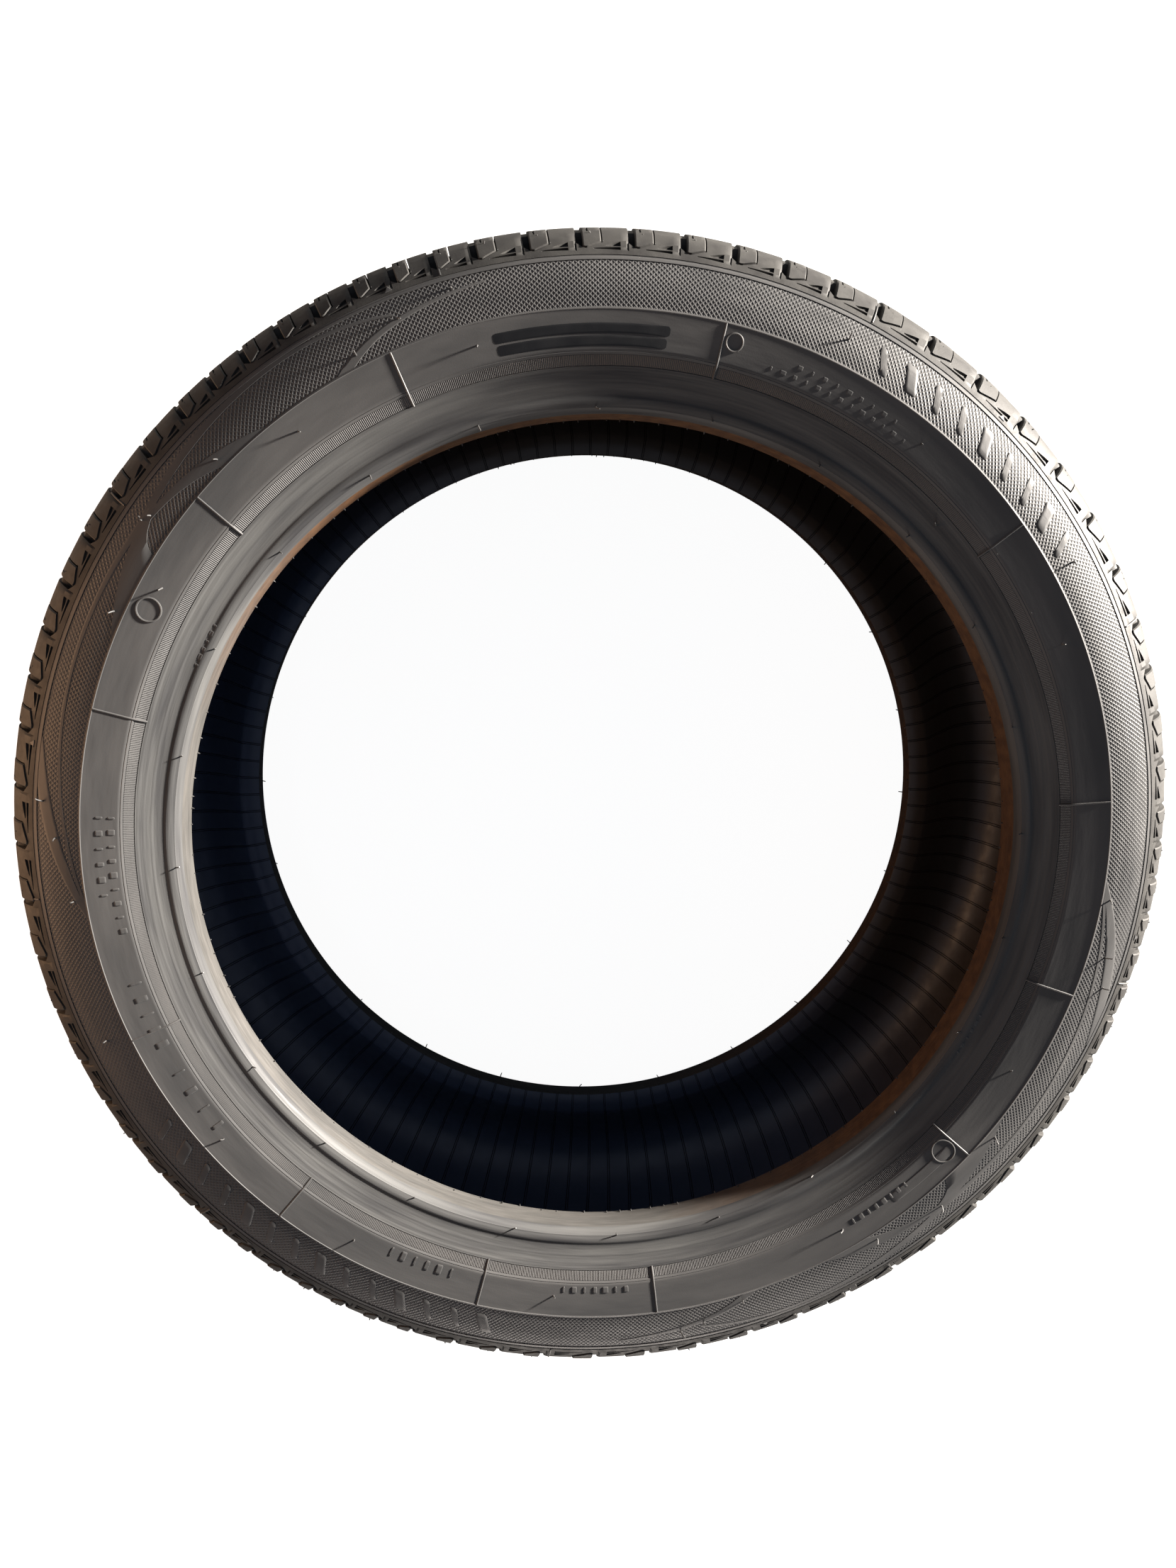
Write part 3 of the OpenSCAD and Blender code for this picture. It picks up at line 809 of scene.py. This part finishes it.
# Rows of upright bars: first and last angle, radius, height, count, and how far they stand off the skin
bar_rows = [
    (175, 188.5, 261, 3.6, 9, 0.35), (175, 184, 267, 3.6, 6, 0.35), (195, 203, 263, 6.5, 5, 0.35),
    (207, 215, 263, 6.5, 4, 0.35), (242, 250, 262, 5.5, 6, 0.35), (264.5, 272.5, 260.5, 3.6, 7, 0.35),
    (55, 72, 262, 2.2, 13, 0.2), (57, 69, 267, 2.2, 9, 0.2), (303, 311, 264, 3.4, 8, 0.35),
    (149, 154.5, 236.5, 2, 6, 0.2), (329, 335, 236.5, 2, 6, 0.2)]


def bars(start, end, r, height, count, lift):
    """Plain upright bars of several widths, spread evenly between two angles."""
    return [pad(r, degrees, rounded(bar_widths[k % len(bar_widths)], height, 0.5), lift, 0.25)
            for k, degrees in enumerate(np.linspace(start, end, count))]


def ring_mark(r, degrees, radius, thickness=0.45):
    """A plain round ring that lies on the skin."""
    turn = np.linspace(0, 2 * np.pi, 32, endpoint=False)
    path = on_skin(r + radius * np.sin(turn), degrees + np.degrees(radius * np.cos(turn) / r), 0.1)
    return tube(path, thickness, closed=True)


plates = [pad(261.5, 93, rounded(84, 4.8, 1.6), 0.25), pad(267.3, 93, rounded(88, 4.8, 1.6), 0.25)]
marks = [shell for row in bar_rows for shell in bars(*row)]
marks += [pad(266, 313.5, rounded(46, 5.6, 2), 0.3)]
marks += [ring_mark(268.4, 76.6, 4.2), ring_mark(264, 317.4, 6.5), ring_mark(266.8, 150.8, 6, 0.5)]

# %% Wear triangles and slanted bars
wear_angles = (48.2, 110.9, 168.3, 228, 288.2, 349.8)
triangle_r = 304.9
triangle = [[-1.9, -1.0], [1.9, -1.0], [0, 1.8]]
marks += [pad(triangle_r, degrees, triangle, 0.3, 0.3) for degrees in wear_angles]

# Slanted bars: each row's first angle and count, the degrees between two bars, and their widths in turn
slant_rows = ((34.5, 9), (212, 14))
slant_step, slant_r = 3.35, 288.2
slant_widths = (4, 7, 4)
marks += [pad(slant_r, start + slant_step * k, rounded(slant_widths[k % 3], 13, 1.6, 6), 0.1, 0.4)
          for start, count in slant_rows for k in range(count)]
add_pair("plates", plates, plate_rubber)
add_pair("marks", marks, sidewall_rubber)

# %% [markdown]
# ## The shoulder
# The shoulder is a row of 74 pitches of three lengths, mixed so that the tyre doesn't hum. Each pitch has a
# deep slot, a plain block with two wedge notches at its foot, a thin sipe, and a block that stands a little
# proud inside a fine groove. Boolean cuts over such a curve are slow and leave ragged shading. Instead,
# rows and columns of one grid are bent to run along these lines, which keeps them crisp with few faces.

# %% Pitches of the tread
# Runs of like pitches round the tyre: the length of each in parts, and how many there are
pitch_runs = [(10, 4), (12, 7), (10, 8), (8, 8), (10, 7), (12, 6),
              (10, 4), (8, 7), (10, 3), (12, 10), (10, 4), (8, 6)]
pitch_lengths, pitch_counts = np.array(pitch_runs).T
pitch_units = np.repeat(pitch_lengths, pitch_counts)

# Where the first slot lies, in degrees, and then the length and the start of every pitch in radians
first_slot = 3.7
pitch_angle = pitch_units * 2 * np.pi / pitch_units.sum()
pitch_start = np.radians(first_slot) + np.concatenate([[0], np.cumsum(pitch_angle)[:-1]])
print("pitches round the tyre:", len(pitch_units))


def ramp(x, start, end):
    """0 before start, 1 after end, and straight between."""
    return np.clip((x - start) / (end - start), 0, 1)


# %% Wear bars
wear_bar_h, wear_bar_l = 1.6, 8.0


def on_wear_bar(angles):
    """1 where an angle, in radians, lies on one of the six wear bars in the grooves, and 0 elsewhere."""
    apart = (np.degrees(angles)[..., None] - np.array(wear_angles) + 180) % 360 - 180
    return (np.radians(np.abs(apart).min(axis=-1)) * tyre_r < wear_bar_l / 2).astype(float)


# %% Sizes of a pitch
# A pair of numbers here is two distances from the shoulder's start along the tread's line: a form comes in
# from the first of a rise to the second, and goes out again from the second of a fade to the first.

# The slot: its width, depth and leaning walls, where it ends at its first wall and how much further at its
# second, and how far from its end it is fully deep. Under the outline a bridge takes a share of its depth.
slot_w, slot_depth, wall_draft = 3.4, 7.0, 0.12
slot_from, slot_skew, slot_run = 4.6, 3.0, 8
bridge_share, bridge_rise, bridge_fade = 0.85, (14, 19), (38, 31)

# The sipe: its width, its depth, its place as a share of the pitch, and the lean of its walls
sipe_w, sipe_depth, sipe_share, sipe_draft = 0.7, 4.5, 0.57, 0.08
sipe_rise = (7.6, 14)

# The plain block: how far from the shoulder's start its edge and its first notch lie, where the notches
# start as a share of the pitch, their depth, and the depth and width of its bevel beside the slot
plain_edge, notch_at, notch_start = 8.9, 3.6, 0.22
notch_depth, bevel_depth, bevel_w = 1.1, 0.8, 1.2
bevel_rise, bevel_fade = (2.4, 3.4), (22, 15)

# The proud block: its height, the depth of the fine groove round it, and its nick beside the next slot
proud_h, proud_fade, fine_groove_depth = 0.7, (30, 16), 0.6
nick_at, nick_depth, nick_rise, nick_fade = 2.9, 1.2, (17.1, 17.2), (24.0, 23.9)

# Its outline: where it starts at the sipe, how far it comes down towards the next slot, and how high and
# how long its curl beside that slot is
outline_from, outline_drop = 7.9, 4.7
curl_h, curl_l = 1.6, 2.6

# %% The shoulder's blocks


def shoulder_columns():
    """Place of every column: its angle, its distance past the slot's middle, and its pitch in millimetres.
    Each is a share of the pitch plus an offset, so walls keep their width in long and short pitches."""
    half, cut = slot_w / 2, sipe_w / 2
    places = [(0, -half + wall_draft), (0, half - wall_draft), (0, half), (0, half + bevel_w),
              (notch_start, -0.1), (notch_start, 0.1), (0.31, 0), (0.4, 0), (0.5, 0),
              (sipe_share, -cut - 0.5), (sipe_share, -cut), (sipe_share, -cut + sipe_draft),
              (sipe_share, cut - sipe_draft), (sipe_share, cut), (sipe_share, cut + 0.6),
              (0.68, 0), (0.75, -0.3),
              (1, -half - 3.4), (1, -half - 2.9), (1, -half - 2.4), (1, -half - 1.5), (1, -half - 0.6),
              (1, -half)]
    shares, offsets = np.array(places).T
    pitch = np.repeat(pitch_angle * crown_edge_r, len(shares))
    along = np.tile(shares, len(pitch_angle)) * pitch + np.tile(offsets, len(pitch_angle))
    angles = np.repeat(pitch_start, len(shares)) + along / crown_edge_r
    return angles, along, pitch


def shoulder_blocks():
    """Points of a shoulder: rows over the section by columns round the tyre. t is the distance past a slot's
    middle, and w the distance along the tread's line. edge is the line that the middle rows follow: the
    slot's end in a slot, the outline of the proud block beside it, and a plain line elsewhere."""
    angles, t, pitch = shoulder_columns()
    half, cut = slot_w / 2, sipe_w / 2
    from_sipe, to_next, share = t - sipe_share * pitch, pitch - half - t, t / pitch
    in_slot, on_pad = t < half - 0.5 * wall_draft, from_sipe > -cut
    pad_run = pitch * (1 - sipe_share) - half
    curl = curl_h * ramp(to_next, curl_l, 0) ** 2
    pad_edge = outline_from - outline_drop * ramp(from_sipe, 0, pad_run) + curl
    slot_end = slot_from + slot_skew * ramp(t, -half, half)
    edge = np.where(in_slot, slot_end, np.where(on_pad, pad_edge, plain_edge))

    # Rows along both notches, along the edge, up the block, and down to the outer groove
    wedge_half = 0.14 + 0.66 * ramp(share, 0.76, notch_start)
    triangle_end = 5.6 + 3.0 * ramp(share, 0.5, notch_start)
    rows = [0 * t, 0 * t + 2.2, notch_at - wedge_half - 0.1, notch_at - wedge_half + 0.1,
            notch_at + wedge_half - 0.1, notch_at + wedge_half + 0.1, 0 * t + 5.0, 0 * t + 5.25,
            triangle_end - 0.2, triangle_end + 0.05]
    rows = [np.minimum(row, edge - 0.45 - 0.06 * (9 - k)) for k, row in enumerate(rows)]
    rows += [edge - 0.3, edge - 0.15, edge + 0.1, edge + 0.35]
    rows += [rows[-1] + (13 - rows[-1]) * k / 4 for k in (1, 2, 3, 4)]
    groove_top = outer_groove_z + outer_groove_w / 2
    end_w = float(np.interp(-groove_top, -tread_line[:, 1], travelled(tread_line)))
    block_rows = (14.8, 17.0, 17.3, 20.5, 23.8, 24.1, 27.5, 31, 35, 39, 45, end_w)
    rows += [0 * t + distance for distance in block_rows]
    w = np.stack(rows)

    # Depth of each cut at each point: notches and fine groove, slot, sipe, bevel and nick
    cuts = np.zeros_like(w)
    cuts[3:5] = notch_depth * ((share > notch_start) & (share < 0.72))
    cuts[7:9] = notch_depth * ((share > notch_start) & (share < 0.47))
    cuts[11:13] = fine_groove_depth * (on_pad & (to_next > 0.1))
    bridge = 1 - bridge_share * ramp(w, *bridge_rise) * ramp(w, *bridge_fade)
    slot_cut = slot_depth * np.sqrt(ramp(w, edge, edge + slot_run)) * bridge * in_slot
    sipe_wall = ramp(cut - np.abs(from_sipe), 0, sipe_draft)
    sipe_cut = sipe_depth * np.sqrt(ramp(w, *sipe_rise)) * sipe_wall
    bevel = (bevel_depth * ramp(t, half + bevel_w, half) * (~in_slot) * ramp(w, *bevel_rise)
             * ramp(w, *bevel_fade))
    at_nick = np.abs(to_next - nick_at) < 0.1
    nick = nick_depth * at_nick * ramp(w, *nick_rise) * ramp(w, *nick_fade)
    proud = (proud_h * (w > edge + 0.2) * ramp(from_sipe, cut, cut + 0.3) * ramp(to_next, -0.05, 0.5)
             * ramp(w, *proud_fade))
    move = proud - nick - np.maximum.reduce([slot_cut, sipe_cut, bevel, cuts])
    line = walk(tread_line, w) + move[..., None] * normals_at(tread_line, np.maximum(w, normal_reach))
    return line, angles


# %% The shoulder as one ring
outer_floor_r = float(crown_r(outer_groove_z)) - groove_depth
groove_foot_z = outer_groove_z + outer_groove_w / 2 - groove_depth * np.tan(groove_draft)
under_shoulder = [[outer_floor_r, groove_foot_z], [outer_floor_r, outer_groove_z],
                  [outer_floor_r - 3, outer_groove_z], [under_tread_r - 6, 80],
                  [shoulder_r + 3, shoulder_z - 5], [shoulder_r + 0.2, shoulder_z - 2]]
block_line, block_angles = shoulder_blocks()
under = np.repeat(np.asarray(under_shoulder)[:, None], block_line.shape[1], axis=1)
under[:2, :, 0] += wear_bar_h * on_wear_bar(block_angles)
shoulder_ring = np.concatenate([block_line, under])
shoulder_shell = spun(shoulder_ring, block_angles), grid_faces(*shoulder_ring.shape[:2])
add_pair("shoulder", [shoulder_shell], tread_rubber)

# %% [markdown]
# ## The crown
# Four grooves round the crown lead water away, and low bars in them show when the tyre is worn out. Slanted
# slots cross the rib beside each outer groove and stop short of the inner one, and the middle rib is plain.
# A spun section could carry the grooves alone. Here every column of the grid leans with its height, so that
# the slots get straight walls too.

# %% The ribs of the crown
# The slots: width, lean, distance from the inner groove, depth, and place as a share of the pitch
rib_slot_w, rib_slot_lean, rib_slot_gap = 2.6, np.radians(28), 4.0
rib_slot_depth, rib_slot_share = 6.0, 0.3

# How far a rib dips at its edges, and a rough length of a pitch, which keeps the columns between two slots
# clear of both
edge_dip = 0.35
rough_pitch = 26


def crown_ribs():
    """Points of half the crown, from the outer groove to the tyre's middle. Rows follow the ribs and the
    walls of the grooves, and columns lean with the slots across the rib."""
    outer_in = outer_groove_z - outer_groove_w / 2
    inner_out, inner_in = inner_groove_z + inner_groove_w / 2, inner_groove_z - inner_groove_w / 2
    draft = groove_depth * np.tan(groove_draft)
    slot_end = inner_out + rib_slot_gap
    inner_floor_r = tyre_r - groove_depth
    across, beside = np.linspace(outer_in, slot_end, 12), np.linspace(slot_end - 1, inner_out, 4)
    rows = [(outer_groove_z, outer_floor_r), (outer_in + draft, outer_floor_r)]
    rows += [(outer_in + 0.25, float(crown_r(outer_in)) - 1)]
    rows += [(z, float(crown_r(z)) - edge_dip * (z == outer_in)) for z in across]
    rows += [(slot_end - 0.15, float(crown_r(slot_end)))]
    rows += [(z, float(crown_r(z)) - edge_dip * (z == inner_out)) for z in beside]
    rows += [(inner_out - 0.25, tyre_r - 1.2), (inner_out - draft, inner_floor_r)]
    rows += [(inner_in + draft, inner_floor_r), (inner_in + 0.25, tyre_r - 1)]
    rows += [(inner_in, tyre_r - edge_dip), (inner_in - 0.8, tyre_r), (inner_in / 2, tyre_r), (0, tyre_r)]
    z, r = np.array(rows).T

    # Columns: six at the walls of each slot, and four over the rib between two slots
    half = rib_slot_w / 2
    walls = [-half - 0.5, -half, -half + wall_draft, half - wall_draft, half, half + 0.5]
    shares = np.concatenate([np.zeros(len(walls)), np.linspace(0.2, 0.85, 4)])
    offsets = np.concatenate([walls, np.zeros(4)])
    base = pitch_start + rib_slot_share * pitch_angle
    angles = (base[:, None] + shares * pitch_angle[:, None] + offsets / tyre_r).ravel()
    t = np.tile(offsets, len(base)) + np.tile(shares, len(base)) * rough_pitch
    middle = (outer_groove_z + slot_end) / 2
    lean = -np.tan(rib_slot_lean) * (np.clip(z, inner_in, outer_groove_z) - middle) / tyre_r
    turns = angles[None, :] + lean[:, None]

    # A slot goes down to its depth, but nowhere below a groove's floor or the wear bar on it
    crossed = (z >= slot_end) & (z <= outer_in + 0.01)
    in_slot = ramp(half - np.abs(t), 0, wall_draft)[None, :] * crossed[:, None]
    in_groove = (z > outer_in) | (z < inner_out)
    bar = wear_bar_h * in_groove[:, None] * on_wear_bar(turns)
    lowest = np.where(z < inner_out, inner_floor_r, outer_floor_r)[:, None] + bar
    radius = np.maximum(r[:, None] - in_slot * rib_slot_depth, lowest)
    ring = np.stack([radius, np.repeat(z[:, None], len(angles), axis=1)], axis=-1)
    return ring, turns


ribs, rib_turns = crown_ribs()
under_crown = np.array([[under_tread_r + 1, 0], [under_tread_r + 1, outer_groove_z]])
crown_ring = np.concatenate([ribs, np.repeat(under_crown[:, None, :], ribs.shape[1], axis=1)])
crown_turns = np.concatenate([rib_turns, rib_turns[[-1, 0]]])
crown_shell = spun(crown_ring, crown_turns), grid_faces(*crown_ring.shape[:2])
add_pair("crown", [crown_shell], tread_rubber)

# %% [markdown]
# ## Vent hairs and flash
# Air leaves the mould through small holes, and the rubber that follows it stays on the tyre as hairs. Each
# one is a tapered tube that rises from the skin and bends over. Those under the tyre are pressed flat
# between it and the floor. The toe keeps a ragged edge of thin flash. A hair system would scatter them, but
# real ones stand where the vents are, so each has its own angle and radius, and only length and bend are
# left to chance.

# %% Hairs
chance = np.random.default_rng(18)
# Shortest and longest hair of each kind, and the radii where those at the heel and the nubs stand
long_hair, heel_hair, nub = (4, 5.5), (3, 4.2), (1.2, 2.2)
heel_hair_r, nub_r = 231.5, 314.5

# Angle and radius of each long hair
hair_places = [
    (104.2, 266.4), (125.4, 266.4), (148, 265.8), (116.2, 281.8), (111, 289.6), (105.2, 295.6),
    (133.7, 281.3), (142.4, 289), (143.3, 291.4), (152.6, 281.3), (177.5, 289.6), (173.8, 296.2),
    (184.4, 283.2), (200.2, 289.6), (216.8, 265.7), (237.2, 265.3), (263.3, 264.5), (286.5, 281.3),
    (281.4, 289.6), (278.6, 292.3), (304.2, 281.3), (301.3, 265), (312.5, 289.6), (322.7, 281.3),
    (330.5, 265), (353.9, 281.3), (347.2, 287.3), (343.7, 292.7), (24.8, 265.8), (53.2, 266.4),
    (45.2, 244), (32.3, 289), (65.5, 289.6)]


def hair(degrees, r, length, thickness, rise=0.85, bend=(0.15, 0.5)):
    """A hair from a place on the skin. It leaves along the skin's normal and bends to a chance side."""
    foot = on_skin(r, degrees, -0.4)
    up = on_skin(r, degrees, 1.0) - on_skin(r, degrees, 0.0)
    turn = chance.uniform(0, 2 * np.pi)
    aside = np.array([np.cos(turn), np.sin(turn), 0.0])
    share = np.linspace(0, 1, 7)[:, None]
    path = foot + length * (share * up * rise + share ** 2 * aside * chance.uniform(*bend))
    return tube(path, thickness * (1 - 0.35 * share[:, 0]), across=(0.8, -0.6, 0.0))


standing = [hair(degrees, r, chance.uniform(*long_hair), 0.5) for degrees, r in hair_places]
edge_hairs = [hair(1.6 + 15 * k, heel_hair_r, chance.uniform(*heel_hair), 0.45) for k in range(24)]
nub_angles = np.degrees(pitch_start + 0.78 * pitch_angle)
edge_hairs += [hair(degrees, nub_r, chance.uniform(*nub), 0.4) for degrees in nub_angles]
pressed = [hair(degrees, r, chance.uniform(*long_hair), 0.4, rise=0.04, bend=(0.7, 0.95))
           for degrees, r in hair_places]
points, faces = joined(standing + edge_hairs)
add_piece("upper_hairs", points, faces, [sidewall_rubber], sharp=60)
points, faces = joined(pressed + edge_hairs)
add_piece("lower_hairs", turned_over(points), faces, [sidewall_rubber], sharp=60)

# %% Flash at the toe


def toe_nib(degrees):
    """A bit of flash at the toe: a short cone that points in over the opening."""
    turn = np.radians(degrees)
    out = np.array([np.cos(turn), np.sin(turn), 0.0])
    foot = (bead_r + 0.4) * out + [0, 0, toe_z + chance.uniform(0.8, 2.2)]
    tip = foot - chance.uniform(0.9, 2.0) * out + [0, 0, chance.uniform(-0.4, 1.2)]
    return tube(np.linspace(foot, tip, 4), [0.6, 0.5, 0.35, 0.15], sides=5, across=(0, 0, 1))


nib_angles = chance.uniform(1.4, 4.6, 140).cumsum()
nibs = [toe_nib(degrees) for degrees in nib_angles[nib_angles < 359]]
add_pair("toe_nibs", nibs, sidewall_rubber, sharp=60)

# %% [markdown]
# ## Floor, light and camera
# The photo looks almost straight down on the tyre from about 0.7 m. Its light falls in low from the right:
# each hair's shadow is about seven times as long as the hair is high, which puts the lamp 8 or 9 degrees
# up. So the key lamp is small, low and far, and strong enough to lift near-black rubber. A wide fill in
# front and a faint warm lamp at the left are there to soften it, and a weak blue-white room fills the
# rest. A sun lamp and a sky would do as well, but a lamp at a distance in metres is easier to match. The
# floor's glow and the room's full strength reach the camera alone, so both look pale and hardly light the
# tyre.

# %% Floor
# Half of the floor's width, in metres
floor_half = 6.0
floor_corners = [(x * floor_half, y * floor_half, cad_low.z)
                 for x, y in ((-1, -1), (1, -1), (1, 1), (-1, 1))]
floor_mesh = bpy.data.meshes.new("floor")
floor_mesh.from_pydata(floor_corners, [], [(0, 1, 2, 3)])
floor = bpy.data.objects.new("floor", floor_mesh)
bpy.context.scene.collection.objects.link(floor)
floor_paper, tree, shader, where = new_material("pale_floor")
shader.inputs["Base Color"].default_value = linear("#8c8c8a")
shader.inputs["Roughness"].default_value = 0.9
shader.inputs["Emission Color"].default_value = linear("#ffffff")
seen_by_camera = add_node(tree, "ShaderNodeLightPath").outputs["Is Camera Ray"]
tree.links.new(spread(tree, seen_by_camera, 0, 1, 0, 0.95), shader.inputs["Emission Strength"])
floor_mesh.materials.append(floor_paper)

# %% Light


def add_lamp(name, azimuth, elevation, distance, size, power, colour):
    """A square area lamp that faces the tyre's middle, placed by two angles in degrees and a distance. The
    distance and the lamp's size are in metres, and its power is in watts."""
    data = bpy.data.lights.new(name, "AREA")
    data.shape = "SQUARE"
    data.size = size
    data.energy = power
    data.color = linear(colour)[:3]
    lamp = bpy.data.objects.new(name, data)
    turn, up = np.radians(azimuth), np.radians(elevation)
    place = distance * Vector((np.cos(turn) * np.cos(up), np.sin(turn) * np.cos(up), np.sin(up)))
    lamp.location = place
    lamp.rotation_euler = (-place).to_track_quat("-Z", "Y").to_euler()
    bpy.context.scene.collection.objects.link(lamp)
    print(name, "watts:", power)


add_lamp("low_key", 24, 8, 3.0, 0.24, 880, "#fff7ee")
add_lamp("front_fill", 275, 6, 2.0, 1.0, 28, "#fff4ea")
add_lamp("warm_left", 176, 14, 0.75, 0.5, 4.6, "#deac80")

# %% Room
world = bpy.data.worlds.new("room")
world.use_nodes = True
tree, backdrop = world.node_tree, world.node_tree.nodes["Background"]
seen_by_camera = add_node(tree, "ShaderNodeLightPath").outputs["Is Camera Ray"]
tree.links.new(mixed(tree, seen_by_camera, "#dbe6fb", "#f6f7f9"), backdrop.inputs["Color"])
tree.links.new(spread(tree, seen_by_camera, 0, 1, 0.2, 1), backdrop.inputs["Strength"])
bpy.context.scene.world = world
bpy.context.scene.view_settings.view_transform = "Standard"

# %% Camera
# The camera was fitted to the tyre's circles in the photo: its lens in pixels, its two tilts, and the
# tyre's middle as the camera has it, to the right, down and away. A sensor of 36 mm lies along the longer
# side.
photo_h = 2212
focal_px = 1533
sensor_mm = 36
tilt_x, tilt_y = np.radians(10.32), np.radians(-3.14)
tyre_from_camera = np.array([5.1, 19.0, 687.5]) * MM
turn_x = np.array([[1, 0, 0], [0, np.cos(tilt_x), -np.sin(tilt_x)], [0, np.sin(tilt_x), np.cos(tilt_x)]])
turn_y = np.array([[np.cos(tilt_y), 0, np.sin(tilt_y)], [0, 1, 0], [-np.sin(tilt_y), 0, np.cos(tilt_y)]])
seen = turn_x @ turn_y @ np.diag([1, -1, -1])
place = -seen.T @ tyre_from_camera
camera_data = bpy.data.cameras.new("camera")
camera_data.sensor_width = sensor_mm
camera_data.lens = sensor_mm * focal_px / photo_h
camera = bpy.data.objects.new("camera", camera_data)
axes = Matrix((seen[0], -seen[1], -seen[2])).transposed().to_4x4()
camera.matrix_world = Matrix.Translation(Vector(place)) @ axes
bpy.context.scene.collection.objects.link(camera)
bpy.context.scene.camera = camera
print("camera's height above the tyre's middle, metres:", round(float(place[2]), 3))
